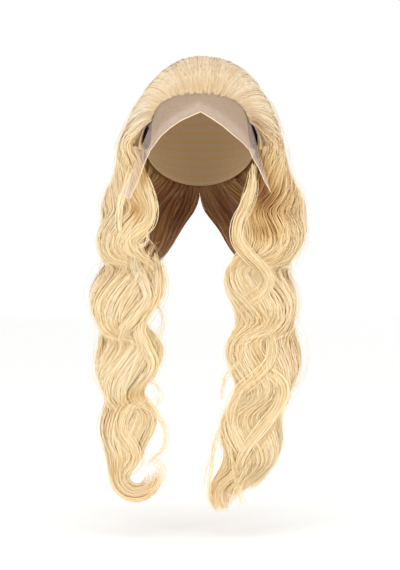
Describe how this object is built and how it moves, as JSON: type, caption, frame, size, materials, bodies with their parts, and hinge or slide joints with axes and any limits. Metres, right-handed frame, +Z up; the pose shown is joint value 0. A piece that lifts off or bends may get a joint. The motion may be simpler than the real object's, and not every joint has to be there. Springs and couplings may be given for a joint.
{
  "type": "wig",
  "caption": "Long blond body-wave lace front wig, swept back from the hairline and brought forward over both shoulders, kept in its worn form",
  "frame": {"origin": "top of the head that wears it, under the crown of the cap", "axes": "+Z up along the long hair, the lace front faces -Y, +X is on the right as seen from the front"},
  "size_m": [0.2718, 0.2226, 0.5789],
  "materials": {
    "cap_net": "stretch net with sewn weft rows",
    "lace": "sheer hexagonal net",
    "tab_cloth": "dark matt stretch cloth",
    "blond_hair": "soft satin hair, pale golden blond"
  },
  "bodies": {
    "root": {"cap": "cap_net", "lace_front": "lace", "left_ear_tab": "tab_cloth", "right_ear_tab": "tab_cloth", "crown_hair": "blond_hair", "left_front_lock": "blond_hair", "left_outer_lock": "blond_hair", "left_rear_lock": "blond_hair", "left_nape_lock": "blond_hair", "right_front_lock": "blond_hair", "right_outer_lock": "blond_hair", "right_rear_lock": "blond_hair", "right_nape_lock": "blond_hair"}
  },
  "joints": []
}
